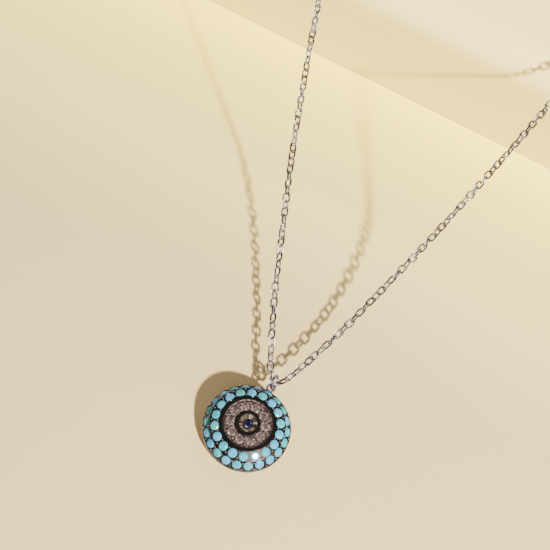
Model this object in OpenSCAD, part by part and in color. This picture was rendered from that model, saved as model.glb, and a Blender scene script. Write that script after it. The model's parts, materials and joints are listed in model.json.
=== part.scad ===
// Evil eye pendant on its chain: a domed disc pave-set with two rows of turquoise,
// two black collars, a ring of clear stones and one blue stone, hanging from a bail.
// Millimetres, +Z up, the face looks along -Y. The origin is the top of the chain's
// loop, where the necklace lies on the nape or hangs from a hook.

/* [Cut of the stones] */
// Diameter of a turquoise stone
turquoise_d = 1.5; // [1.4:0.05:1.6]
// Diameter of a clear stone
clear_d = 1.5; // [1.35:0.05:1.55]
// Diameter of the blue stone in the middle
blue_d = 1.45; // [1.2:0.05:1.6]
// Width of the table, as a share of the stone
table_share = 0.58; // [0.5:0.01:0.66]
// Height of the crown, as a share of the stone
crown_share = 0.14; // [0.1:0.01:0.17]
// Depth of the pavilion, as a share of the stone
pavilion_share = 0.42; // [0.36:0.01:0.45]
// Thickness of the girdle, as a share of the stone
girdle_share = 0.03; // [0.02:0.01:0.05]

/* [Rows of stones] */
// Tilt of the outer turquoise row away from the face
outer_tilt = 47; // [40:1:52]
// Tilt of the inner turquoise row away from the face
inner_tilt = 20; // [14:1:26]
// Metal left between the two turquoise rows, along the dome
row_gap = 0.28; // [0.24:0.02:0.4]
// Slope of the dome from the inner row down to the outer row
row_slope = 48; // [42:1:54]
// Turn of the outer row, clockwise as seen from the front
outer_turn = 1; // [-8:0.5:8]
// Turn of the inner row
inner_turn = -3; // [-10:0.5:10]
// Turn of the clear row
clear_turn = -3.5; // [-18:0.5:18]
// Metal between the clear row and the inner collar
clear_inset = 0.08; // [0.06:0.02:0.2]
// Metal between the clear row and the outer collar
clear_margin = 0.3; // [0.2:0.02:0.4]
// Metal between the outer collar and the inner turquoise row
collar_gap = 0.08; // [0.06:0.01:0.15]

/* [Heights] */
// Height of the plain rim above the back plane
rim_h = 0.75; // [0.6:0.05:0.95]
// Metal between the rim's edge and the outer row
rim_lip = 0.13; // [0.1:0.01:0.2]
// Rise of the outer collar above the inner turquoise row
collar_rise = 0.39; // [0.3:0.01:0.5]
// Rise of the inner collar above the outer collar
cup_rise = 0.32; // [0.2:0.02:0.45]
// Depth of the clear stones' tables below the outer collar
clear_sink = 0.08; // [0.04:0.01:0.15]
// Depth of the blue stone's table below the inner collar
blue_sink = 0.28; // [0.2:0.02:0.4]
// Thickness of the cast shell below the stones' girdles
shell_t = 1.1; // [0.9:0.05:1.25]

/* [Collars] */
// Radius of the cup inside the inner collar
cup_r = 1.4; // [1.3:0.02:1.5]
// Width of the inner collar
inner_collar_w = 0.57; // [0.5:0.01:0.65]
// Width of the outer collar
outer_collar_w = 0.55; // [0.5:0.01:0.65]
// Width of the bright metal edge on each side of a black ring
collar_edge = 0.08; // [0.06:0.01:0.12]
// Thickness of a black ring
black_t = 0.15; // [0.1:0.01:0.2]
// Height that a black ring stands proud of its channel
black_proud = 0.02; // [0.01:0.01:0.04]

/* [Seats and grains] */
// Clearance of a stone or a black ring in its seat
seat_gap = 0.03; // [0.02:0.005:0.04]
// Height of the metal above a stone's girdle
bezel_h = 0.06; // [0.03:0.01:0.09]
// Diameter of the hole under each stone, as a share of the stone
azure_share = 0.48; // [0.35:0.01:0.55]
// Diameter of a grain that holds the stones
grain_d = 0.3; // [0.24:0.01:0.32]
// Distance of a grain from the middle of its row
grain_off = 0.5; // [0.48:0.01:0.54]

/* [Eye and bail] */
// Wire of the eye that is soldered to the rim
eye_wire = 0.38; // [0.3:0.01:0.42]
// Inner diameter of the eye
eye_bore = 0.8; // [0.76:0.01:0.9]
// Depth that the eye is soldered into the rim
eye_solder = 0.1; // [0.06:0.01:0.14]
// Height of the eye above the back plane
eye_h = 0.4; // [0.3:0.01:0.5]
// Wire of the bail
bail_wire = 0.42; // [0.36:0.01:0.48]
// Play of the eye and the chain inside the bail
bail_play = 0.28; // [0.26:0.01:0.5]
// Turn of the bail about the upright, its front limb to the left when negative
bail_turn = -18; // [-20:1:20]
// Clearance where one ring bears on the next
bearing_gap = 0.09; // [0.06:0.01:0.1]
// Lean of the disc as it hangs from its back edge
lean = 10.8; // [8:0.1:13]

/* [Chain and clasp] */
// Width of a link of the chain
chain_w = 1.15; // [1:0.01:1.3]
// Outer diameter of the clasp's ring
clasp_d = 5.4; // [4.5:0.1:6.5]
// Wire of the clasp's ring
clasp_wire = 1.2; // [1:0.05:1.4]
// Wire of the clasp's small eyelet and of the end ring
end_wire = 0.6; // [0.5:0.02:0.7]
// Outer diameter of the clasp's small eyelet
eyelet_d = 2.2; // [2:0.1:2.6]
// Outer diameter of the end ring
end_ring_d = 4; // [3.4:0.1:4.6]
// Clearance between an end of the chain and the ring that holds it
chain_end_gap = 0.15; // [0.1:0.05:0.3]

/* [Hidden] */
// Stones in each row
outer_count = 22;
inner_count = 18;
clear_count = 10;
blue_grains = 4;
// Sides of the meshed parts
facets = 8;
chain_sides = 8;
// Round solids are drawn with this many sides
$fn = 96;
// The chain's route from the bail's crossing up to each end, as x and z
LEFT_ROUTE = [
    [0, 0], [-0.7, 0.2], [-1.3, 0.9], [-2, 2], [-3, 4], [-4.9, 8], [-8.1, 15], [-12.2, 25],
    [-18.3, 40], [-25.7, 60], [-29.2, 70], [-36.5, 90], [-43.8, 110], [-51, 130], [-55.8, 144],
    [-57.5, 157], [-52, 177.5], [-37, 192.5]];
RIGHT_ROUTE = [
    [0, 0], [0.7, 0.2], [1.2, 0.9], [1.7, 2], [2.25, 4], [3.3, 8], [5, 15], [7, 25],
    [9.8, 40], [13, 60], [14.5, 70], [17.3, 90], [20.1, 110], [22.9, 130], [25, 146],
    [25.5, 157], [20, 177.5], [5, 192.5]];
// Distance between the rings of the chain's tube
ring_step = 6.5;
// Where the chain crosses the bail, from the origin, as x and z
CROSSING = [16, -198];

// Distance of each row from the disc's axis
clear_r = cup_r + inner_collar_w + clear_inset + clear_d / 2;
outer_collar_in = clear_r + clear_d / 2 + clear_margin;
outer_collar_out = outer_collar_in + outer_collar_w;
inner_r = outer_collar_out + collar_gap + turquoise_d / 2 * cos(inner_tilt);
row_step = turquoise_d + row_gap;
outer_r = inner_r + row_step * cos(row_slope);
disc_r = outer_r + turquoise_d / 2 * cos(outer_tilt) + rim_lip;
// Height of each row's girdles and of each collar above the back plane
outer_h = rim_h + rim_lip + turquoise_d / 2 * sin(outer_tilt);
inner_h = outer_h + row_step * sin(row_slope);
collar_h = inner_h + turquoise_d / 2 * sin(inner_tilt) + collar_rise;
cup_h = collar_h + cup_rise;
clear_h = collar_h - clear_sink - crown_share * clear_d;
blue_h = cup_h - blue_sink - crown_share * blue_d;
// Bail and eye, with heights from the chain's crossing
bail_r = (chain_w + eye_wire + bail_play) / 2 + bail_wire / 2;
bail_z = chain_w / 2 + bearing_gap + bail_wire / 2 - bail_r;
bail_foot_z = bail_z - bail_r;
eye_r = (eye_bore + eye_wire) / 2;
eye_z = bail_foot_z + bail_wire / 2 + bearing_gap - eye_bore / 2;
eye_y = disc_r + eye_r + eye_wire / 2 - eye_solder;
// Clasp, end ring and the two ends of the chain, from the origin
clasp_r = (clasp_d - clasp_wire) / 2;
eyelet_r = (eyelet_d - end_wire) / 2;
eyelet_x = clasp_r + clasp_wire / 2 + eyelet_r;
end_ring_r = (end_ring_d - end_wire) / 2;
end_ring_x = -clasp_r + clasp_wire / 2 + bearing_gap + end_wire / 2 - end_ring_r;
left_end_x = end_ring_x - end_ring_d / 2 - chain_end_gap;
right_end_x = eyelet_x + eyelet_d / 2 + chain_end_gap;

function two_digits(i) = i < 10 ? str("0", i) : str(i);
OUTER_NAMES = [for (i = [1:outer_count]) str("turquoise_outer_", two_digits(i))];
INNER_NAMES = [for (i = [1:inner_count]) str("turquoise_inner_", two_digits(i))];

// A point on a row's slope: along down the slope from the girdles' middle, out above it
function on_row(r, h, tilt, along, out) =
    [r + along * cos(tilt) + out * sin(tilt), h - along * sin(tilt) + out * cos(tilt)];

// A ring of points of a cut stone, the first one turned by start
function stone_ring(count, r, z, start = 0) =
    [for (i = [0:count - 1]) [r * cos(start + i * 360 / count), r * sin(start + i * 360 / count), z]];

// Cut stone, its girdle on z = 0 and its table up: 8 stars, 8 kites and 16 halves on the crown
module cut_stone(d) {
    half = 180 / facets;
    crown = crown_share * d;
    edge = girdle_share * d / 2;
    table = table_share * d / 2;
    // The kites' side corners lie halfway down the crown, in the plane of each kite
    reach = (table + d / 2) / 2;
    reach_z = (crown + edge) / 2;
    points = concat(
        stone_ring(facets, table, crown),
        stone_ring(facets, reach / cos(half), reach_z, half),
        stone_ring(2 * facets, d / 2, edge),
        stone_ring(2 * facets, d / 2, -edge),
        [[0, 0, -edge - pavilion_share * d]]);
    function corner(i) = i % facets;
    function side(i) = facets + (i + facets) % facets;
    function girdle(i) = 2 * facets + (i + 2 * facets) % (2 * facets);
    function below(i) = girdle(i) + 2 * facets;
    tip = 6 * facets;
    faces = concat(
        [[for (i = [facets - 1:-1:0]) corner(i)]],
        [for (i = [0:facets - 1]) [corner(i), corner(i + 1), side(i)]],
        [for (i = [0:facets - 1]) [corner(i), side(i), girdle(2 * i), side(i - 1)]],
        [for (i = [0:facets - 1]) [side(i), girdle(2 * i + 1), girdle(2 * i)]],
        [for (i = [0:facets - 1]) [side(i), girdle(2 * i + 2), girdle(2 * i + 1)]],
        [for (i = [0:2 * facets - 1]) [girdle(i), girdle(i + 1), below(i + 1), below(i)]],
        [for (i = [0:2 * facets - 1]) [below(i), below(i + 1), tip]]);
    polyhedron(points, faces);
}

// Seat of a stone: a pocket at the girdle, a cone under it and a hole through the shell
module seat(d) {
    edge = girdle_share * d / 2;
    pocket = d / 2 + seat_gap;
    hole = azure_share * d / 2;
    cone_h = pavilion_share * d * (1 - hole / pocket);
    rotate_extrude()
        polygon([[0, d / 2], [pocket, d / 2], [pocket, -edge - seat_gap],
                 [hole, -edge - seat_gap - cone_h], [hole, -shell_t - d / 4], [0, -shell_t - d / 4]]);
}

// Puts its children on a row: i of count, turned, the girdle at r and h, leaning outwards
module on_dome(i, count, turn, r, h, tilt) {
    rotate(-turn - i * 360 / count)
        translate([0, r, h])
            rotate([-tilt, 0, 0])
                children();
}

// Puts its children on every place of a row
module whole_row(count, turn, r, h, tilt) {
    for (i = [0:count - 1]) on_dome(i, count, turn, r, h, tilt) children();
}

// Grains between the stones of a row, above and below its middle
module grain_row(count, turn, r, h, tilt) {
    for (i = [0:count - 1], off = [-grain_off, grain_off])
        on_dome(i + 0.5, count, turn, r, h, tilt)
            translate([0, off, bezel_h]) sphere(d = grain_d);
}

// Puts the disc, face up on its back plane, under the bail with its face to the front
module hung() {
    translate([CROSSING.x, 0, CROSSING.y + eye_z])
        rotate([90 + lean, 0, 0])
            translate([0, -eye_y, -eye_h])
                children();
}

// Cross-section of the cast shell, from the rim over the face to the hollow back
module shell_profile() {
    lip = row_gap / 4;
    reach = turquoise_d / 2 + lip;
    clear_floor = clear_h + bezel_h;
    top = on_row(inner_r, inner_h, inner_tilt, -reach, bezel_h);
    inner_collar_out = cup_r + inner_collar_w;
    polygon(concat(
        [[disc_r, 0], [disc_r, rim_h]],
        [on_row(outer_r, outer_h, outer_tilt, reach, bezel_h)],
        [on_row(outer_r, outer_h, outer_tilt, -reach, bezel_h)],
        [on_row(inner_r, inner_h, inner_tilt, reach, bezel_h)],
        [top, [outer_collar_out, top.y]],
        collar_profile(outer_collar_in, outer_collar_out, collar_h),
        [[outer_collar_in, clear_floor], [inner_collar_out, clear_floor]],
        collar_profile(cup_r, inner_collar_out, cup_h),
        [[blue_d / 2 + lip, blue_h + bezel_h], [0, blue_h + bezel_h]],
        [[0, clear_h - shell_t], [outer_collar_in, clear_h - shell_t]],
        [on_row(inner_r, inner_h, inner_tilt, 0, -shell_t)],
        [on_row(outer_r, outer_h, outer_tilt, 0, -shell_t)],
        [[disc_r - shell_t, 0]]));
}

// Top of a collar, from outside to inside, with the channel for its black ring
function collar_profile(r_in, r_out, h) = [
    [r_out, h], [r_out - collar_edge, h], [r_out - collar_edge, h - black_t],
    [r_in + collar_edge, h - black_t], [r_in + collar_edge, h], [r_in, h]];

// Cast body of the disc: shell, seats, grains and the soldered eye, one piece of silver
module setting() {
    color("#cfc8bf")
    hung() {
        difference() {
            rotate_extrude() shell_profile();
            whole_row(outer_count, outer_turn, outer_r, outer_h, outer_tilt) seat(turquoise_d);
            whole_row(inner_count, inner_turn, inner_r, inner_h, inner_tilt) seat(turquoise_d);
            whole_row(clear_count, clear_turn, clear_r, clear_h, 0) seat(clear_d);
            translate([0, 0, blue_h]) seat(blue_d);
        }
        grain_row(outer_count, outer_turn, outer_r, outer_h, outer_tilt);
        grain_row(inner_count, inner_turn, inner_r, inner_h, inner_tilt);
        grain_row(clear_count, clear_turn, clear_r, clear_h, 0);
        blue_grain_ring();
        soldered_eye();
    }
}

// Grains on the cup's slope around the blue stone
module blue_grain_ring() {
    foot = blue_d / 2 + row_gap / 4;
    r = blue_d / 2 + seat_gap + grain_d / 2 + seat_gap;
    h = blue_h + bezel_h + (r - foot) * (cup_h - blue_h - bezel_h) / (cup_r - foot);
    for (i = [0:blue_grains - 1])
        rotate(45 + i * 360 / blue_grains) translate([0, r, h]) sphere(d = grain_d);
}

// Eye for the bail, soldered to the rim at the top of the disc
module soldered_eye() {
    translate([0, eye_y, eye_h])
        rotate_extrude() translate([eye_r, 0]) circle(d = eye_wire);
    translate([0, disc_r - 2 * eye_solder, eye_h])
        rotate([-90, 0, 0]) cylinder(d = 1.5 * eye_wire, h = 3 * eye_solder);
}

// Black ring that fills the channel of a collar
module black_ring(r_in, r_out, h) {
    color("#20241f")
    hung()
        rotate_extrude()
            translate([r_in + collar_edge + seat_gap, h - black_t + seat_gap])
                square([r_out - r_in - 2 * (collar_edge + seat_gap), black_t - seat_gap + black_proud]);
}
module black_ring_outer() { black_ring(outer_collar_in, outer_collar_out, collar_h); }
module black_ring_inner() { black_ring(cup_r, cup_r + inner_collar_w, cup_h); }

// Blue stone in the cup
module blue_stone() {
    color("#152246")
    hung() translate([0, 0, blue_h]) cut_stone(blue_d);
}

// Clear stones between the collars
module clear_stones() {
    color("#e9eef2")
    hung() whole_row(clear_count, clear_turn, clear_r, clear_h, 0) cut_stone(clear_d);
}

// One turquoise of the outer row, counted clockwise from the top as seen from the front
module turquoise_outer(i) {
    color("#3fa9b5")
    hung() on_dome(i, outer_count, outer_turn, outer_r, outer_h, outer_tilt) cut_stone(turquoise_d);
}

// One turquoise of the inner row
module turquoise_inner(i) {
    color("#4fb3b3")
    hung() on_dome(i, inner_count, inner_turn, inner_r, inner_h, inner_tilt) cut_stone(turquoise_d);
}

// Ring of round wire in the XZ plane
module wire_ring(r, wire) {
    rotate([90, 0, 0]) rotate_extrude() translate([r, 0]) circle(d = wire);
}

// Bail: a plain ring that holds the eye and that the chain passes through
module bail() {
    color("#d8d2c8")
    translate([CROSSING.x, 0, CROSSING.y + bail_z])
        rotate(90 + bail_turn) wire_ring(bail_r, bail_wire);
}

// Clasp: a closed spring ring with its eyelet, one plain piece at the back of the neck
module clasp() {
    color("#d8d2c8") {
        wire_ring(clasp_r, clasp_wire);
        translate([eyelet_x, 0, 0]) wire_ring(eyelet_r, end_wire);
    }
}

// End ring that the clasp closes on
module end_ring() {
    color("#d8d2c8")
    translate([end_ring_x, 0, 0]) rotate([90, 0, 0]) wire_ring(end_ring_r, end_wire);
}

// A point between b and c of four neighbours on the route, t from 0 to 1
function between(a, b, c, d, t) =
    0.5 * (2 * b + (c - a) * t + (2 * a - 5 * b + 4 * c - d) * t * t + (3 * b - a - 3 * c + d) * t * t * t);

// The route made smooth, with a point at every ring of the tube
function smooth(p, step) = let (last = len(p) - 1)
    concat([for (i = [0:last - 1]) let (n = max(1, round(norm(p[i + 1] - p[i]) / step)))
        for (k = [0:n - 1])
            between(p[max(i - 1, 0)], p[i], p[i + 1], p[min(i + 2, last)], k / n)], [p[last]]);

// Direction of the route at ring i, level at the crossing where the two halves meet
function heading(p, i) = let (last = len(p) - 1, d = p[min(i + 1, last)] - p[max(i - 1, 0)])
    i == 0 || i == last ? [sign(d.x), 0] : d / norm(d);

// Tube of the chain's width, swept along a route that is given from the crossing
module chain_tube(route) {
    way = smooth(route, ring_step);
    n = len(way);
    points = [for (i = [0:n - 1], k = [0:chain_sides - 1])
        let (u = heading(way, i), a = 360 * k / chain_sides, out = chain_w / 2 * cos(a))
            [way[i].x - u.y * out, chain_w / 2 * sin(a), way[i].y + u.x * out]];
    faces = concat(
        [[for (k = [0:chain_sides - 1]) k]],
        [for (i = [0:n - 2], k = [0:chain_sides - 1]) let (m = (k + 1) % chain_sides)
            [i * chain_sides + k, (i + 1) * chain_sides + k, (i + 1) * chain_sides + m, i * chain_sides + m]],
        [[for (k = [chain_sides - 1:-1:0]) (n - 1) * chain_sides + k]]);
    color("#d2ccc3")
    translate([CROSSING.x, 0, CROSSING.y]) polyhedron(points, faces);
}

// The chain from the crossing up the left side to the end ring
module chain_left() { chain_tube(concat(LEFT_ROUTE, [[left_end_x, 0] - CROSSING])); }
// The chain from the crossing up the right side to the clasp
module chain_right() { chain_tube(concat(RIGHT_ROUTE, [[right_end_x, 0] - CROSSING])); }

setting();
black_ring_outer();
black_ring_inner();
blue_stone();
clear_stones();
for (i = [0:outer_count - 1])
    turquoise_outer(i);
for (i = [0:inner_count - 1])
    turquoise_inner(i);
bail();
chain_left();
chain_right();
clasp();
end_ring();
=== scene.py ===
# %% [markdown]
# An evil eye pendant on a cable chain, seen from a little below, as it hangs in front of a cream sheet.
# The real one is a cast silver disc, set with two rows of turquoise, a ring of clear stones and one blue
# stone, and blackened between the rows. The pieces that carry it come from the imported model. This lesson
# gives each of them its finish, makes the chain out of real links, and sets the sheet, lights and camera.

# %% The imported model
import json
import math
import bpy
import bmesh
from mathutils import Matrix, Vector


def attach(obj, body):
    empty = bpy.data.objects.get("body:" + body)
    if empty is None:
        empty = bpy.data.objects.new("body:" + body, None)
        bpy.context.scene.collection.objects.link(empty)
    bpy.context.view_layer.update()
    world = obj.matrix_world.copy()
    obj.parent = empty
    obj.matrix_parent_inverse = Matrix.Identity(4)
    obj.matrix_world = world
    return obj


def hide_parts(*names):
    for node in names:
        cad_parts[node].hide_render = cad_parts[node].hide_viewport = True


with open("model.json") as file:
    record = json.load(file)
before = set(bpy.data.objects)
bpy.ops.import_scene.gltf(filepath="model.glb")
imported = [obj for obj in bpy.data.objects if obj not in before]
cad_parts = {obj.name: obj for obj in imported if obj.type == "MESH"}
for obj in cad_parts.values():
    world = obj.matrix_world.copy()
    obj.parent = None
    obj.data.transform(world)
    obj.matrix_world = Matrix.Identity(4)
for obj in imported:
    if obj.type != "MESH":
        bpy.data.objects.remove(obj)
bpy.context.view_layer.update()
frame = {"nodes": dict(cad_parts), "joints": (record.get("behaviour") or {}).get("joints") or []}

# %% [markdown]
# All places are worked out in millimetres first, because that is how a goldsmith thinks, and turned into
# Blender's metres at the end. The chain crosses the bail at one point, and the whole pendant hangs there.
# Places could be measured from the nape, which is the model's origin, but nothing that the photo shows is
# near it, so everything is placed from the crossing.

# %% Sizes that the finishes and the chain need
MM = 0.001
crossing = Vector(frame["joints"][0]["pos_m"]) / MM
print("the chain crosses the bail at", [round(c, 2) for c in crossing], "mm")

# %% [markdown]
# Every finish is a small network of nodes. It could be put together by hand in the shader editor, but code
# can use the same steps for every finish. These helpers start a finish, add a node and join it up, do a
# sum, make a soft step or a zone between two of them, and blend two colours.

# %% Helpers for the finishes
def new_finish(name, colour, metal, rough):
    """A new material, its network and its shader, with the values that are the same all over."""
    finish = bpy.data.materials.new(name)
    finish.use_nodes = True
    net = finish.node_tree
    shader = net.nodes["Principled BSDF"]
    shader.inputs["Base Color"].default_value = (*colour, 1)
    shader.inputs["Metallic"].default_value = metal
    shader.inputs["Roughness"].default_value = rough
    return finish, net, shader


def add_node(net, kind, inputs=None, **settings):
    """A node of a kind, with its settings, and its inputs given as values or as sockets to join."""
    node = net.nodes.new("ShaderNode" + kind)
    for key, value in settings.items():
        setattr(node, key, value)
    for key, value in (inputs or {}).items():
        if isinstance(value, bpy.types.NodeSocket):
            net.links.new(value, node.inputs[key])
        else:
            node.inputs[key].default_value = value
    return node


def sums(net, operation, first, second):
    """The result of a Math node."""
    return add_node(net, "Math", {0: first, 1: second}, operation=operation).outputs[0]


def soft_step(net, value, low, high, out_low=0.0, out_high=1.0):
    """Goes smoothly from out_low to out_high while the value goes from low to high."""
    node = add_node(net, "MapRange", {"Value": value, "From Min": low, "From Max": high,
                                      "To Min": out_low, "To Max": out_high},
                    interpolation_type="SMOOTHSTEP")
    return node.outputs["Result"]


def between(net, value, rise, fall):
    """One between two soft edges, and nothing outside them."""
    return sums(net, "MULTIPLY", soft_step(net, value, *rise), soft_step(net, value, *fall))


def blend_colours(net, share, first, second):
    """One colour to another, by a share."""
    node = add_node(net, "Mix", data_type="RGBA")
    net.links.new(share, node.inputs["Factor"])
    for place, colour in ((6, first), (7, second)):
        if isinstance(colour, bpy.types.NodeSocket):
            net.links.new(colour, node.inputs[place])
        else:
            node.inputs[place].default_value = (*colour, 1)
    return node.outputs[2]


print("helpers that start and join a finish are ready")

# %% [markdown]
# A finish also has to know where on the object it is, since tarnish, wear and clouds in a stone all have a
# place. It could follow a flat map of each piece, but fifty pieces would have to be unwrapped for that. So
# one helper gives the place in millimetres, one makes cloudy noise from it, and one raises the surface.

# %% Helpers that know the place
def in_millimetres(net):
    """Object coordinates in millimetres."""
    where = add_node(net, "TexCoord").outputs["Object"]
    return add_node(net, "Mapping", {"Vector": where, "Scale": (1 / MM,) * 3}).outputs["Vector"]


def noise(net, where, scale, detail=3.0, rough=0.55):
    """Cloudy noise, its scale in patches for each millimetre."""
    node = add_node(net, "TexNoise", {"Vector": where, "Scale": scale, "Detail": detail, "Roughness": rough})
    return node.outputs["Fac"]


def raise_surface(net, shader, height, depth):
    """Bump, its depth in millimetres."""
    bump = add_node(net, "Bump", {"Height": height, "Distance": depth * MM})
    net.links.new(bump.outputs["Normal"], shader.inputs["Normal"])


print("helpers that know the place are ready")

# %% [markdown]
# The chain and the clasp are silver plated with rhodium, which is bright and nearly without colour. The bail
# is a shade darker, partly in the blackened disc's tone and partly as painted shade of the shaded spot it
# hangs in. Wear shows as a slight change of gloss from place to place and as very fine waves, never as a
# change of colour. It could be an even gloss too, but then small wire looks like plastic, so noise drives the
# roughness.

# %% Bright silver
GLOSS_CLOUD = (0.35, 0.7)


def polished_silver(name, colour, rough_low, rough_high, waves):
    """Silver whose gloss changes from place to place."""
    finish, net, shader = new_finish(name, colour, metal=1.0, rough=rough_low)
    where = in_millimetres(net)
    gloss = noise(net, where, 1.3)
    net.links.new(soft_step(net, gloss, *GLOSS_CLOUD, rough_low, rough_high), shader.inputs["Roughness"])
    raise_surface(net, shader, noise(net, where, 4.0, detail=2.0), depth=waves)
    return finish


wire_silver = polished_silver("wire_silver", (0.82, 0.78, 0.81), rough_low=0.10, rough_high=0.2, waves=0.01)
# The bail's darker silver is partly painted shade.
bail_silver_and_painted_shade = polished_silver("bail_silver_and_painted_shade", (0.40, 0.34, 0.40), rough_low=0.10, rough_high=0.2, waves=0.01)
chain_silver = polished_silver("chain_silver", (0.80, 0.77, 0.765),
                               rough_low=0.08, rough_high=0.16, waves=0.004)
print("made", wire_silver.name, bail_silver_and_painted_shade.name, "and", chain_silver.name)

# %% [markdown]
# The disc hangs from an eye on its back edge, so it leans. The blackened places follow its rows and not the
# room, so its finishes are drawn in the disc's own frame: the axis through the blue stone is Z there, and
# the eye is up. They could be painted on point by point, but the frame needs only three sizes and moves all
# of them at once when the disc leans another way. The helper gives what the finish asks for: how far a point
# is from the axis, and how high it is above the disc's back.

# %% The disc's own frame
LEAN = math.radians(10.8)
# How far the eye hangs below the crossing, and where it is in the disc's own frame.
EYE_DROP = -1.455
EYE_PLACE = Vector((0, 7.697, 0.4))
disc_place = (Matrix.Translation(crossing + Vector((0, 0, EYE_DROP)))
              @ Matrix.Rotation(math.pi / 2 + LEAN, 4, "X")
              @ Matrix.Translation(-EYE_PLACE))


def in_disc(net):
    """Distance from the disc's axis and height above its back, both in millimetres."""
    where = add_node(net, "TexCoord").outputs["Object"]
    local = add_node(net, "Mapping", {"Vector": where, "Scale": (1 / MM,) * 3,
                                      "Rotation": (-math.pi / 2 - LEAN, 0, 0),
                                      "Location": disc_place.inverted().translation}).outputs["Vector"]
    split = add_node(net, "SeparateXYZ", {"Vector": local})
    flat = add_node(net, "CombineXYZ", {"X": split.outputs["X"], "Y": split.outputs["Y"]})
    away = add_node(net, "VectorMath", {0: flat.outputs[0]}, operation="LENGTH").outputs["Value"]
    return away, split.outputs["Z"]


print("the middle of the disc's back is at", [round(c, 2) for c in disc_place.translation], "mm")

# %% [markdown]
# The cast disc is blackened with an oxide after it is set. Polishing takes the black off whatever stands up,
# so the grains and the collars' inner edges are bright, and the floors of the rows, the ledge between them
# and the outer walls of the collars stay dark. The channel of the clear stones is only spotted with black,
# and the outer row is a little worn. The rim and the channel's floor are rougher than the rest. The rim, the
# channel and the cup are painted in warm, darker silvers, which are painted reflections of the cream
# surroundings, and the eye in a darker silver that is partly painted shade of the shaded spot around it. This
# could be painted by hand, but the network only has to ask how far a point is from the disc's axis and how
# far it stands above the floor of its row, so every stone's surroundings get the same treatment.

# %% Colours and zones of the disc's silver
DISC_SILVER = (0.82, 0.74, 0.72)
OXIDE = (0.03, 0.017, 0.014)
# Painted reflections: the rim, channel and cup silvers are tinted warm and darker for the cream surroundings.
RIM_SILVER_PAINTED_REFLECTION = (0.50, 0.39, 0.34)
CHANNEL_SILVER_PAINTED_REFLECTION = (0.38, 0.29, 0.265)
# The eye's darker silver is partly painted shade of the shaded spot it sits in.
EYE_SILVER_AND_PAINTED_SHADE = (0.30, 0.255, 0.30)
CUP_SILVER_PAINTED_REFLECTION = (0.42, 0.345, 0.28)
BRIGHT_ROUGH = 0.12
BLACK_ROUGH = 0.34
DULL_ROUGH = 0.45
# For each row: its middle's distance from the axis, its height and the tilt of its floor.
ROWS = {"inner": (5.185, 2.751, math.radians(20)), "outer": (6.376, 1.429, math.radians(47))}
ROW_TURN = 5.92
# Soft edges of the zones: where each starts and where it is full, away from the axis or above the back.
OFF_THE_FLOOR = (0.12, 0.2)
ROWS_AWAY = (4.3, 4.33)
ROWS_HEIGHT = (0.78, 0.9)
COLLAR_WALL = (4.46, 4.4)
LEDGE = ((5.74, 5.8), (6.12, 6.04))
COLLAR_EDGE = ((1.87, 1.9), (2.02, 1.98))
CHANNEL_AWAY = ((1.9, 2.0), (3.92, 3.8))
CHANNEL_FLOOR = ((3.08, 3.12), (3.3, 3.2))
RIM_AWAY = (6.95, 6.99)
RIM_HEIGHT = (0.85, 0.75)
EYE_AWAY = (7.06, 7.1)
CUP_AWAY = (1.42, 1.39)
print("the disc has", len(ROWS), "rows of stones, five tones of silver and one black")

# %% [markdown]
# The black is not one flat coat. It lies thick in the floors, in spots in the channel, and is rubbed thin in
# places along the outer row. A picture of a worn disc could be laid over it, but a zone times a cloud of
# noise does the same at any size. Blackened places are also less shiny, so the black drives the roughness.

# %% The disc's silver, black in its hollows
# Where the noise starts and stops to count, and the shares that it gives there.
SPOTS = (0.44, 0.54, 0.2, 0.92)
WEAR = (0.45, 0.65, 0.0, 0.13)
BLACKEST = 0.99


def above_row(net, away, height, row):
    """How far a point stands out of a row's slope."""
    away_row, height_row, tilt = ROWS[row]
    first = sums(net, "MULTIPLY", sums(net, "SUBTRACT", away, away_row), math.sin(tilt))
    second = sums(net, "MULTIPLY", sums(net, "SUBTRACT", height, height_row), math.cos(tilt))
    return sums(net, "ADD", first, second)


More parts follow.
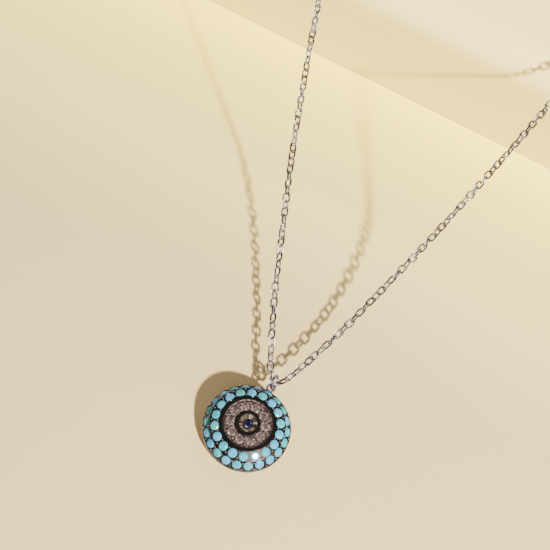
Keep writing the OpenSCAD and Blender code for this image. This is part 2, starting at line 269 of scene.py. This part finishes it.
def blackened_silver():
    """The finish of the cast disc."""
    finish, net, shader = new_finish("blackened_silver", DISC_SILVER, metal=1.0, rough=BRIGHT_ROUGH)
    away, height = in_disc(net)
    where = in_millimetres(net)
    outer_side = sums(net, "GREATER_THAN", away, ROW_TURN)
    inner_out = above_row(net, away, height, "inner")
    outer_out = above_row(net, away, height, "outer")
    stands = add_node(net, "Mix", {"Factor": outer_side, 2: inner_out, 3: outer_out}).outputs[0]
    low = soft_step(net, stands, *OFF_THE_FLOOR, 1.0, 0.0)
    ledge_or_wall = sums(net, "MAXIMUM", soft_step(net, away, *COLLAR_WALL), between(net, away, *LEDGE))
    in_rows = sums(net, "MULTIPLY", soft_step(net, away, *ROWS_AWAY), soft_step(net, height, *ROWS_HEIGHT))
    row_black = sums(net, "MULTIPLY", sums(net, "MAXIMUM", low, ledge_or_wall), in_rows)
    channel = between(net, away, *CHANNEL_AWAY)
    channel_floor = sums(net, "MULTIPLY", channel, between(net, height, *CHANNEL_FLOOR))
    spots = sums(net, "MULTIPLY", channel_floor, soft_step(net, noise(net, where, 3.2), *SPOTS))
    channel_black = sums(net, "MAXIMUM", spots, between(net, away, *COLLAR_EDGE))
    worn = sums(net, "MULTIPLY", soft_step(net, noise(net, where, 2.5), *WEAR), outer_side)
    black = sums(net, "MULTIPLY", sums(net, "MAXIMUM", row_black, channel_black),
                 sums(net, "SUBTRACT", BLACKEST, worn))
    rim = sums(net, "MULTIPLY", soft_step(net, away, *RIM_AWAY), soft_step(net, height, *RIM_HEIGHT))
    channel_all = sums(net, "MULTIPLY", channel, soft_step(net, height, *CHANNEL_FLOOR[1]))
    # The rim, channel and cup take their painted-reflection silvers, and the eye its silver that is partly
    # painted shade.
    bare = blend_colours(net, rim, DISC_SILVER, RIM_SILVER_PAINTED_REFLECTION)
    bare = blend_colours(net, channel_all, bare, CHANNEL_SILVER_PAINTED_REFLECTION)
    bare = blend_colours(net, soft_step(net, away, *EYE_AWAY), bare, EYE_SILVER_AND_PAINTED_SHADE)
    bare = blend_colours(net, soft_step(net, away, *CUP_AWAY), bare, CUP_SILVER_PAINTED_REFLECTION)
    net.links.new(blend_colours(net, black, bare, OXIDE), shader.inputs["Base Color"])
    rough = soft_step(net, black, 0.0, 1.0, BRIGHT_ROUGH, BLACK_ROUGH)
    dull = sums(net, "MAXIMUM", rim, channel_floor)
    rough = add_node(net, "Mix", {"Factor": dull, 2: rough, 3: DULL_ROUGH}).outputs[0]
    net.links.new(rough, shader.inputs["Roughness"])
    raise_surface(net, shader, noise(net, where, 5.0), depth=0.012)
    return finish


disc_silver = blackened_silver()
print("made", disc_silver.name)

# %% [markdown]
# The two collars carry rings of black enamel that has a green cast where the light grazes it. One flat
# black would do from afar. Close up, fired enamel is never quite even, so a faint cloud changes its colour.

# %% Black enamel
ENAMEL_DEEP = (0.0015, 0.002, 0.0017)
ENAMEL_GREEN = (0.004, 0.006, 0.0045)
ENAMEL_CLOUD = (0.3, 0.75)


def black_enamel():
    """Smooth enamel, almost black."""
    finish, net, shader = new_finish("black_enamel", ENAMEL_DEEP, metal=0.0, rough=0.2)
    where = in_millimetres(net)
    cloud = soft_step(net, noise(net, where, 3.0), *ENAMEL_CLOUD)
    net.links.new(blend_colours(net, cloud, ENAMEL_DEEP, ENAMEL_GREEN), shader.inputs["Base Color"])
    raise_surface(net, shader, noise(net, where, 6.0, detail=2.0), depth=0.006)
    return finish


enamel = black_enamel()
print("made", enamel.name)

# %% [markdown]
# No two turquoises are quite alike, and that is what makes the rows lively. Four shades, from sky blue to
# green, are listed, one letter for each stone, clockwise from the eye. Chance could deal them too, but then
# the same shade often falls on neighbours. Inside each shade two clouds of noise give the stone its faint
# veins, and a thin coat gives it the polish.

# %% Turquoise in four shades
# For each letter: the name of its shade, the deep colour and the light one.
SHADES = {
    "S": ("sky", (0.022, 0.17, 0.30), (0.045, 0.24, 0.385)),
    "M": ("clear", (0.013, 0.175, 0.25), (0.03, 0.25, 0.34)),
    "G": ("pale_green", (0.013, 0.165, 0.20), (0.03, 0.24, 0.28)),
    "T": ("teal", (0.016, 0.165, 0.185), (0.034, 0.26, 0.28)),
}
OUTER_SHADES = "MTTSMGMSSMMSGSSTTSMGGT"
INNER_SHADES = "GSMMSSMSMSMSGMMSGS"
STONE_CLOUD = (0.32, 0.68)
VEINS = (0.56, 0.72, 0.0, 0.5)
VEIN_COLOUR_SHARE = 0.55
VEIN_WHITE = 0.3
DEEP_ROUGH = 0.22
LIGHT_ROUGH = 0.14
COAT = 0.6
COAT_ROUGH = 0.11


def turquoise(name, deep, light):
    """An opaque stone with faint clouds and a waxy polish."""
    finish, net, shader = new_finish("turquoise_" + name, light, metal=0.0, rough=DEEP_ROUGH)
    where = in_millimetres(net)
    cloud = soft_step(net, noise(net, where, 1.1, detail=4.0, rough=0.6), *STONE_CLOUD)
    vein = soft_step(net, noise(net, where, 4.5, rough=0.7), *VEINS)
    body = blend_colours(net, cloud, deep, light)
    pale = tuple(VEIN_COLOUR_SHARE * part + VEIN_WHITE for part in light)
    net.links.new(blend_colours(net, vein, body, pale), shader.inputs["Base Color"])
    net.links.new(soft_step(net, cloud, 0.0, 1.0, DEEP_ROUGH, LIGHT_ROUGH), shader.inputs["Roughness"])
    shader.inputs["Coat Weight"].default_value = COAT
    shader.inputs["Coat Roughness"].default_value = COAT_ROUGH
    raise_surface(net, shader, noise(net, where, 6.0), depth=0.008)
    return finish


turquoises = {letter: turquoise(*shade) for letter, shade in SHADES.items()}
print("made", [finish.name for finish in turquoises.values()])

# %% [markdown]
# The clear stones bend light strongly, so they flash with whatever the seats under them reflect. A bright
# metal with facets would be quicker to render, but it never shows the seat through the stone, so they are
# real glass here. Their pink tint is a painted reflection of the warm surroundings. The blue stone is so dark
# that only the light on its crown tells its shape.

# %% Clear and blue stone
HAZE = 0.03
HAZE_CLOUD = (0.3, 0.7)


def cut_glass(name, colour, bend, transmission, rough):
    """A cut stone, a little less than perfectly clear."""
    finish, net, shader = new_finish(name, colour, metal=0.0, rough=rough)
    shader.inputs["IOR"].default_value = bend
    shader.inputs["Transmission Weight"].default_value = transmission
    cloud = noise(net, in_millimetres(net), 2.0)
    net.links.new(soft_step(net, cloud, *HAZE_CLOUD, rough, rough + HAZE), shader.inputs["Roughness"])
    return finish


# The clear stones' pink tint is a painted reflection of the warm surroundings.
clear_stone = cut_glass("clear_stone", (0.74, 0.58, 0.56), bend=2.1, transmission=0.97, rough=0.0)
blue_stone = cut_glass("blue_stone", (0.0012, 0.0022, 0.02), bend=1.76, transmission=0.2, rough=0.02)
print("made", clear_stone.name, "and", blue_stone.name)

# %% [markdown]
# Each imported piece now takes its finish. The pieces keep their meshes as they are, because their facets and
# grains were made for real in the solid model. One finish for a whole row would be shorter, but the stones
# take theirs one by one, by the letters above.

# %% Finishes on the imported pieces
def dress(node, finish):
    """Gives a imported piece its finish."""
    piece = frame["nodes"][node]
    piece.data.materials.clear()
    piece.data.materials.append(finish)


dress("setting", disc_silver)
dress("black_ring_outer", enamel)
dress("black_ring_inner", enamel)
dress("clear_stones", clear_stone)
dress("blue_stone", blue_stone)
for row, letters in (("outer", OUTER_SHADES), ("inner", INNER_SHADES)):
    for i, letter in enumerate(letters):
        dress(f"turquoise_{row}_{i + 1:02d}", turquoises[letter])
dress("bail", bail_silver_and_painted_shade)
dress("clasp", wire_silver)
dress("end_ring", wire_silver)
print("dressed", sum(1 for piece in frame["nodes"].values() if piece.data.materials), "pieces")

# %% [markdown]
# The chain is a cable chain: oval links of round wire, each a quarter turn from the next, with bright cuts
# along their sides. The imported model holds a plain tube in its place. Links could be laid by an array along
# a curve, but an array can't turn sharply where the chain passes through the bail, so each link is placed
# between two points of the chain's route, where it hooks into its neighbours.

# %% The route of the chain, as distances from the crossing
LEFT_ROUTE = [
    [0, 0], [-0.7, 0.2], [-1.3, 0.9], [-2, 2], [-3, 4], [-4.9, 8], [-8.1, 15], [-12.2, 25],
    [-18.3, 40], [-25.7, 60], [-29.2, 70], [-36.5, 90], [-43.8, 110], [-51, 130], [-55.8, 144],
    [-57.5, 157], [-52, 177.5], [-37, 192.5]]
RIGHT_ROUTE = [
    [0, 0], [0.7, 0.2], [1.2, 0.9], [1.7, 2], [2.25, 4], [3.3, 8], [5, 15], [7, 25],
    [9.8, 40], [13, 60], [14.5, 70], [17.3, 90], [20.1, 110], [22.9, 130], [25, 146],
    [25.5, 157], [20, 177.5], [5, 192.5]]
LEFT_END = -4.96
RIGHT_END = 4.75


def whole_route(route, end_x):
    """A route's points in the model's frame, with the end that lies by the clasp."""
    points = [crossing + Vector((x, 0, z)) for x, z in route]
    return points + [Vector((end_x, 0, 0))]


print("the routes have", len(LEFT_ROUTE), "and", len(RIGHT_ROUTE), "points, and an end each")

# %% [markdown]
# A chain under its own weight hangs in one smooth line. Blender's own curves would round these points too,
# but a link needs the place that is so many millimetres along the chain, and a curve doesn't give that at
# once. So the line is worked out in short steps whose lengths are added up.

# %% The smooth line through a route
WAY_STEPS = 24


def smooth_way(points):
    """The route as a smooth line of many short steps."""
    way = []
    for i in range(len(points) - 1):
        a, b = points[max(i - 1, 0)], points[i]
        c, d = points[i + 1], points[min(i + 2, len(points) - 1)]
        for k in range(WAY_STEPS):
            t = k / WAY_STEPS
            way.append(0.5 * (2 * b + (c - a) * t + (2 * a - 5 * b + 4 * c - d) * t ** 2
                              + (3 * b - a - 3 * c + d) * t ** 3))
    return way + [points[-1]]


class Way:
    """A smooth line that can be asked for the point at a distance along it."""

    def __init__(self, points):
        self.points = smooth_way(points)
        self.along = [0.0]
        for a, b in zip(self.points, self.points[1:]):
            self.along.append(self.along[-1] + (b - a).length)

    def at(self, distance):
        """The point at a distance from the start."""
        low = max(i for i, s in enumerate(self.along[:-1]) if s <= distance)
        share = (distance - self.along[low]) / (self.along[low + 1] - self.along[low])
        return self.points[low].lerp(self.points[low + 1], share)


left_way = Way(whole_route(LEFT_ROUTE, LEFT_END))
right_way = Way(whole_route(RIGHT_ROUTE, RIGHT_END))
print("left strand:", round(left_way.along[-1], 1), "mm, right strand:", round(right_way.along[-1], 1), "mm")

# %% [markdown]
# A link is a bit of round wire, bent to an oval and closed. A curve with a round section would do, but it
# has to be turned into a mesh first. Here a small circle is spun right round into a ring, and drawing the
# ring's two halves apart makes it an oval. The ring stands half a step off the middle, so the drawn sides
# come out straight. There are hundreds of links, so each has only a few dozen faces, left flat: the flats
# are the bright cuts. The one link that passes through the bail is narrower, so that it clears the bail and
# the eye while they swing.

# %% One link
LINK_WIDTH = 1.42
MIDDLE_WIDTH = 1.15
LINK_LENGTH = 2.14
LINK_WIRE = 0.34
AROUND = 12
WIRE_SIDES = 5


def ring_of_wire(radius, wire, around, sides):
    """A ring of round wire about Z, as a bmesh."""
    ring = bmesh.new()
    lie = Matrix.Translation((radius, 0, 0)) @ Matrix.Rotation(math.pi / 2, 4, "X")
    bmesh.ops.create_circle(ring, segments=sides, radius=wire / 2, matrix=lie)
    bmesh.ops.spin(ring, geom=ring.verts[:] + ring.edges[:], cent=(0, 0, 0), axis=(0, 0, 1),
                   angle=2 * math.pi, steps=around, use_merge=True)
    bmesh.ops.recalc_face_normals(ring, faces=ring.faces)
    return ring


def one_link(width):
    """An oval link in XY, its length along X."""
    half_step = math.pi / AROUND
    radius = (width - LINK_WIRE) / 2
    link = ring_of_wire(radius, LINK_WIRE, AROUND, WIRE_SIDES)
    bmesh.ops.rotate(link, verts=link.verts, cent=(0, 0, 0), matrix=Matrix.Rotation(half_step, 3, "Z"))
    draw = (LINK_LENGTH - LINK_WIRE) / 2 - radius * math.cos(half_step)
    for side in (-1, 1):
        half = [v for v in link.verts if v.co.x * side > 0]
        bmesh.ops.translate(link, verts=half, vec=(side * draw, 0, 0))
    return link


def as_mesh(name, shape):
    """A bmesh as a mesh, in metres."""
    mesh = bpy.data.meshes.new(name)
    shape.to_mesh(mesh)
    shape.free()
    return mesh


link_mesh = as_mesh("one_link", one_link(LINK_WIDTH))
middle_mesh = as_mesh("middle_link", one_link(MIDDLE_WIDTH))
print("a link has", len(link_mesh.polygons), "faces")

# %% [markdown]
# A link must be about a quarter turn from the next, or they couldn't hook. The left strand as a whole is
# twisted by an eighth of a turn and the right one by less, and each link sways a few degrees more, as links
# do that hang freely. An even row could be laid by one angle, but it looks like a machine part. The twist
# comes in over the first few links and changes again over the last dozen, where the jump rings ask for it.
# The sum of two waves, a quick and a slow one, makes the sway, so the eye finds no pattern in it.

# %% How one link is laid
PITCH = 1.45
# How far before its route's end a strand stops, and where it hooks into the middle link.
END_REACH = 1.4
MIDDLE_HOOK = Vector((0.66, 0, 0.05))
END_TWIST_LINKS = 12
SWAY = math.radians(12)
QUICK_SWAY = 2.1
SLOW_SWAY = 0.47


def turn_to(along, width, place):
    """A matrix that lays a link at a place, its length along one direction and its width along another."""
    turn = Matrix((along, width, along.cross(width))).transposed().to_4x4()
    return Matrix.Translation(place) @ turn


def lay(shape, mesh, place):
    """Adds a copy of a mesh to a bmesh, laid at a place."""
    before = len(shape.verts)
    shape.from_mesh(mesh)
    shape.verts.ensure_lookup_table()
    bmesh.ops.transform(shape, matrix=place, verts=shape.verts[before:])


def lay_link(shape, start, end, angle, mesh=link_mesh):
    """A link between two hooks, turned about its length."""
    along = (end - start).normalized()
    across = Vector((-along.z, 0, along.x))
    width = across * math.cos(angle) + Vector((0, 1, 0)) * math.sin(angle)
    lay(shape, mesh, turn_to(along, width, (start + end) / 2))


print("a link is laid every", PITCH, "mm")

# %% [markdown]
# On a real chain each link hooks into the one before it. The two strands could be one long row, but they
# are two pieces of the model that meet at the bail. So each strand starts from the middle link and ends by
# the clasp, and its pitch is stretched a little so that the last link ends just there.

# %% Links along a strand
def strand(way, side, twist, end_twist, twist_in):
    """The links of one strand, from the middle link to its end, with the twist complete after twist_in."""
    last = way.along[-1] - END_REACH
    count = round(last / PITCH)
    step = last / count
    hooks = [crossing + Vector((side * MIDDLE_HOOK.x, 0, MIDDLE_HOOK.z))]
    hooks += [way.at(step * (k + 0.5)) for k in range(1, count + 1)]
    shape = bmesh.new()
    for i in range(count):
        come = min((i + 1) / twist_in, 1)
        go = max(0, 1 - (count - 1 - i) / END_TWIST_LINKS)
        sway = SWAY * (math.sin(QUICK_SWAY * i) + math.sin(SLOW_SWAY * i))
        turned = twist * come + (end_twist - twist) * go + sway * come * (1 - go)
        lay_link(shape, hooks[i], hooks[i + 1], math.pi / 2 * (i % 2 == 0) + turned)
    return shape, count


left_links, left_count = strand(left_way, side=-1, twist=math.radians(45), end_twist=math.radians(90),
                                twist_in=3)
right_links, right_count = strand(right_way, side=1, twist=math.radians(20), end_twist=0, twist_in=2)
reach = Vector((MIDDLE_HOOK.x, 0, 0))
lay_link(right_links, crossing - reach, crossing + reach, 0, middle_mesh)
print("the chain has", left_count, "+ 1 +", right_count, "links")

# %% [markdown]
# The last link can't pass over the thick wire of the clasp, so a small round jump ring joins them, as on a
# real chain. It could be one more link, but a rounder and thicker ring is what a goldsmith closes by hand.
# Then each strand becomes one piece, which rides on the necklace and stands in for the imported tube.

# %% Jump rings, and both strands as finished pieces
JUMP_WIRE = 0.4
JUMP_RADIUS = 0.95
JUMP_AROUND = 16
JUMP_SIDES = 8
JUMP_X = {"left": -4.9, "right": 4.7}


def jump_ring(shape, x, upright):
    """A small round ring between the last link and the clasp."""
    mesh = as_mesh("jump_ring", ring_of_wire(JUMP_RADIUS, JUMP_WIRE, JUMP_AROUND, JUMP_SIDES))
    lie = Matrix.Rotation(math.pi / 2, 4, "X") if upright else Matrix.Identity(4)
    lay(shape, mesh, Matrix.Translation((x, 0, 0)) @ lie)
    bpy.data.meshes.remove(mesh)


def finished(name, shape, finish, smooth=False):
    """A bmesh in millimetres as a finished piece in metres, its object at the origin."""
    bmesh.ops.scale(shape, vec=(MM,) * 3, verts=shape.verts)
    mesh = as_mesh(name, shape)
    mesh.materials.append(finish)
    if smooth:
        mesh.shade_smooth()
    piece = bpy.data.objects.new(name, mesh)
    bpy.context.scene.collection.objects.link(piece)
    return piece


jump_ring(left_links, JUMP_X["left"], upright=True)
jump_ring(right_links, JUMP_X["right"], upright=False)
for side, shape in (("left", left_links), ("right", right_links)):
    links = finished(f"links_{side}", shape, chain_silver)
    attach(links, "necklace")
    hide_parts(f"chain_{side}")
    print(links.name, "has", len(links.data.polygons), "faces")

# %% [markdown]
# Behind the pendant hangs a cream sheet: upright at the pendant and leaning back above it, up to a slanting
# crease, where it folds forward again until it nearly touches the chain. Cloth could be draped by a
# simulation, but this sheet is stiff, so it is one strip, drawn as an edge, extruded to the side and turned
# a little. Each corner of the edge is rounded by its own amount.

# %% The sheet's shape
SHEET_HALF_WIDTH = 500
SHEET_MIDDLE = Vector((16, 0, -198))
SHEET_TURN = Matrix.Rotation(math.radians(-3.8), 3, "Y")
# For each corner: its depth behind the chain, its height and its rounding.
SHEET_CORNERS = [(3.6, -420, 0), (3.6, 28.8, 22), (37.9, 91.1, 0.1), (4.5, 84, 8), (4.5, 420, 0)]
NEAR = 0.01


def is_at_corner(edge, depth, height):
    """Whether an edge runs along one corner of the strip."""
    corner = Vector((depth, height))
    return all(((v.co - SHEET_MIDDLE).yz - corner).length < NEAR for v in edge.verts)


def paper_sheet():
    """The strip, extruded from its line of corners, with each corner rounded."""
    shape = bmesh.new()
    start = SHEET_MIDDLE - Vector((SHEET_HALF_WIDTH, 0, 0))
    corners = [shape.verts.new(start + Vector((0, depth, height))) for depth, height, _ in SHEET_CORNERS]
    edges = [shape.edges.new(pair) for pair in zip(corners, corners[1:])]
    wide = bmesh.ops.extrude_edge_only(shape, edges=edges)["geom"]
    far_side = [item for item in wide if isinstance(item, bmesh.types.BMVert)]
    bmesh.ops.translate(shape, verts=far_side, vec=(2 * SHEET_HALF_WIDTH, 0, 0))
    for depth, height, rounding in SHEET_CORNERS[1:-1]:
        bends = [edge for edge in shape.edges if is_at_corner(edge, depth, height)]
        bmesh.ops.bevel(shape, geom=bends, offset=rounding, segments=16, profile=0.5, affect="EDGES",
                        material=-1)
    bmesh.ops.rotate(shape, verts=shape.verts, cent=SHEET_MIDDLE, matrix=SHEET_TURN)
    shape.normal_update()
    if sum(face.normal.y for face in shape.faces) > 0:
        bmesh.ops.reverse_faces(shape, faces=shape.faces)
    return shape


sheet_shape = paper_sheet()
print("the sheet has", len(sheet_shape.faces), "faces")

# %% [markdown]
# Above the pendant the sheet is made brighter with painted light. Its cream is painted lighter with the
# height, and below the crease it has a painted glow that grows with the height, though it is no lamp. Where
# it is folded forward it glows hardly at all, its cream is painted darker near the crease and lighter further
# forward, and a thin strip along the crease takes the darker folded cream as a painted shade line. A second
# lamp could light the upper part for real, but a painted glow is quicker and has no grain. The back lets
# sight through, so the pendant can be seen from behind. Polished surfaces don't show the sheet, because one
# so close would make every link as cream as itself.

# %% The sheet's paper
LOW_CREAMS = ((0.52, 0.39, 0.175), (0.54, 0.41, 0.185))
# Painted light: the cream that the sheet is painted towards higher up, where more light falls.
PAINTED_LIGHT_CREAM = (0.88, 0.70, 0.255)
# The fold's creams: painted shade near the crease and painted light further forward.
FOLD_CREAMS_PAINTED_SHADE_AND_LIGHT = ((0.52, 0.44, 0.20), (0.86, 0.66, 0.28))
PAINTED_LIGHT_HEIGHTS = (5, 46)
FOLD_PAINTED_SHADE_FORWARD = (18, 36)
# Painted glow: emission that grows with the height and stands in for more light on the upper sheet.
PAINTED_GLOW_COLOUR = (2.0, 1.65, 0.2)
PAINTED_GLOW_HEIGHTS = (24, 96, 0.0, 0.92)
FOLD_PAINTED_GLOW = 0.12
PAPER_ROUGH = 0.8
PAPER_SHINE = 0.2
SHEET_LEAN = 0.55
IN_FRONT = 0.05
FOLD_LOWEST = 78
# Width of the painted shade line along the crease, in millimetres.
CREASE_PAINTED_SHADE_STRIP = 0.25


def height_on_sheet(net, where):
    """Height above the sheet's middle, along the turned sheet."""
    up = SHEET_TURN @ Vector((0, 0, 1))
    above = add_node(net, "VectorMath", {0: where, 1: up}, operation="DOT_PRODUCT").outputs["Value"]
    return sums(net, "SUBTRACT", above, SHEET_MIDDLE.dot(up))


def forward_of_lean(net, where, height):
    """How far a point stands in front of the leaning part of the sheet."""
    bend_depth, bend_height, _ = SHEET_CORNERS[1]
    over_bend = sums(net, "MULTIPLY", sums(net, "SUBTRACT", height, bend_height), SHEET_LEAN)
    leaning = sums(net, "ADD", over_bend, bend_depth)
    depth = add_node(net, "SeparateXYZ", {"Vector": where}).outputs["Y"]
    return sums(net, "SUBTRACT", leaning, depth)


def cream_paper():
    """Cream paper with a faint grain, painted lighter and glowing higher up and painted darker at the crease,
    seen only from its front.
    """
    finish, net, shader = new_finish("cream_paper", PAINTED_LIGHT_CREAM, metal=0.0, rough=PAPER_ROUGH)
    where = in_millimetres(net)
    height = height_on_sheet(net, where)
    forward = forward_of_lean(net, where, height)
    in_front = sums(net, "MULTIPLY", sums(net, "GREATER_THAN", forward, IN_FRONT),
                    sums(net, "GREATER_THAN", height, FOLD_LOWEST))
    # A thin strip along the crease takes the darker folded cream and weak glow, as a painted shade line.
    crease_height = SHEET_CORNERS[2][1]
    painted_shade_at_crease = sums(net, "GREATER_THAN", height, crease_height - CREASE_PAINTED_SHADE_STRIP)
    folded = sums(net, "MAXIMUM", in_front, painted_shade_at_crease)
    # Painted glow, though the sheet is no lamp, that grows with the height and is weak on the fold.
    under = soft_step(net, height, *PAINTED_GLOW_HEIGHTS)
    painted_glow = add_node(net, "Mix", {"Factor": folded, 2: under, 3: FOLD_PAINTED_GLOW}).outputs[0]
    net.links.new(painted_glow, shader.inputs["Emission Strength"])
    low_cream = blend_colours(net, noise(net, where, 0.02), *LOW_CREAMS)
    # The sheet's cream, painted lighter with the height as painted light.
    back_cream_painted_light = blend_colours(net, soft_step(net, height, *PAINTED_LIGHT_HEIGHTS), low_cream, PAINTED_LIGHT_CREAM)
    # The fold's cream, painted darker near the crease as painted shade and lighter further forward as painted
    # light.
    fold_cream_painted_shade = blend_colours(net, soft_step(net, forward, *FOLD_PAINTED_SHADE_FORWARD), *FOLD_CREAMS_PAINTED_SHADE_AND_LIGHT)
    net.links.new(blend_colours(net, folded, back_cream_painted_light, fold_cream_painted_shade), shader.inputs["Base Color"])
    shader.inputs["Emission Color"].default_value = (*PAINTED_GLOW_COLOUR, 1)
    shader.inputs["Specular IOR Level"].default_value = PAPER_SHINE
    clear = add_node(net, "BsdfTransparent")
    side = add_node(net, "NewGeometry").outputs["Backfacing"]
    both = add_node(net, "MixShader", {0: side, 1: shader.outputs[0], 2: clear.outputs[0]})
    net.links.new(both.outputs[0], net.nodes["Material Output"].inputs["Surface"])
    return finish


sheet = finished("sheet", sheet_shape, cream_paper(), smooth=True)
sheet.visible_glossy = False
print("the sheet wears", sheet.data.materials[0].name)

# %% [markdown]
# The photo's main light is small and comes from the front, the right and below, so shadows fall up to the
# left and grow soft with distance. A wide lamp fills them. Both are left out of polished surfaces, which
# show the room instead. A third and very small one shines in polished surfaces only, from just the side
# where the table of one stone of the inner row mirrors it. One lamp could do all three jobs, but then no
# shadow or flash could be set without changing the others.

# %% Lamps
def lamp(name, towards, distance, width, power, colour, **seen):
    """A square lamp that shines on the pendant from a direction."""
    light = bpy.data.lights.new(name, "AREA")
    light.size = width * MM
    light.energy = power
    light.color = colour
    holder = bpy.data.objects.new(name, light)
    away = Vector(towards).normalized()
    holder.location = (crossing + away * distance) * MM
    holder.rotation_euler = away.to_track_quat("Z", "Y").to_euler()
    holder.visible_camera = False
    for rays, value in seen.items():
        setattr(holder, "visible_" + rays, value)
    bpy.context.scene.collection.objects.link(holder)


lamp("main_lamp", towards=(0.609, -0.658, -0.442), distance=700, width=34, power=26,
     colour=(1.0, 0.955, 0.88), glossy=False)
lamp("wide_lamp", towards=(-0.2, -0.35, 0.9), distance=900, width=900, power=6,
     colour=(0.87, 0.91, 1.0), glossy=False, transmission=False)
lamp("glint_lamp", towards=(0.400, -0.828, -0.392), distance=600, width=12, power=5,
     colour=(1.0, 0.98, 0.96), diffuse=False)

# %% [markdown]
# Polished metal shows the room. The room here is mostly dark, with patches of soft light and a few bright
# openings, so the silver has darks as well as lights. A picture of a real room could do this, but noise
# needs no file. In front, behind the camera, the room is an even dim brown, so the flat floors of the disc
# stay dark. Sight that passes the sheet meets plain cream.

# %% Room
ROOM_DARK = (0.016, 0.011, 0.010)
ROOM_SOFT = (1.2, 1.0, 0.84)
ROOM_OPENING = (8.0, 7.4, 6.8)
ROOM_FRONT = (0.10, 0.072, 0.066)
ROOM_CREAM = (0.80, 0.71, 0.55)
PATCHES = (0.5, 0.54)
OPENINGS = (0.64, 0.67)
FRONT_EDGE = (-0.85, -0.65)


def room():
    """The world: cream to the eye, and a dim room with bright openings to the metal."""
    world = bpy.data.worlds.new("room")
    world.use_nodes = True
    bpy.context.scene.world = world
    net = world.node_tree
    where = add_node(net, "TexCoord").outputs["Generated"]
    cloud = noise(net, where, 6.0, detail=1.0)
    light = blend_colours(net, soft_step(net, cloud, *PATCHES), ROOM_DARK, ROOM_SOFT)
    light = blend_colours(net, soft_step(net, cloud, *OPENINGS), light, ROOM_OPENING)
    backward_share = add_node(net, "SeparateXYZ", {"Vector": where}).outputs["Y"]
    light = blend_colours(net, soft_step(net, backward_share, *FRONT_EDGE), ROOM_FRONT, light)
    seen = add_node(net, "LightPath").outputs["Is Camera Ray"]
    colour = blend_colours(net, seen, light, ROOM_CREAM)
    net.links.new(colour, net.nodes["Background"].inputs["Color"])
    return world


print("made the", room().name)

# %% [markdown]
# The camera looks up at the pendant and is rolled, which is why the upright pendant lies slantwise in the
# picture. It could be placed by hand, but here its place is given as the point it aims at and the direction
# from there, so each angle can be changed alone. It stands well back with a long lens, which keeps the disc
# round.

# %% Camera
AZIMUTH = math.radians(5.92)
ELEVATION = math.radians(-30.55)
ROLL = math.radians(33.0)
AIM = Vector((-9.27, 0, 17.01))
DISTANCE = 314.42
LENS = 125.63
SENSOR = 36
NEAREST = 0.01
FARTHEST = 10

backward = Vector((math.sin(AZIMUTH) * math.cos(ELEVATION), -math.cos(AZIMUTH) * math.cos(ELEVATION),
                   math.sin(ELEVATION)))
level = Vector((math.cos(AZIMUTH), math.sin(AZIMUTH), 0))
upward = backward.cross(level)
right_hand = level * math.cos(ROLL) + upward * math.sin(ROLL)
camera = bpy.data.objects.new("camera", bpy.data.cameras.new("camera"))
camera.data.lens = LENS
camera.data.sensor_width = SENSOR
camera.data.clip_start = NEAREST
camera.data.clip_end = FARTHEST
turn = Matrix((right_hand, backward.cross(right_hand), backward)).transposed().to_4x4()
camera.matrix_world = Matrix.Translation((crossing + AIM + backward * DISTANCE) * MM) @ turn
bpy.context.scene.collection.objects.link(camera)
bpy.context.scene.camera = camera
print("the camera stands", round(DISTANCE), "mm from what it aims at")
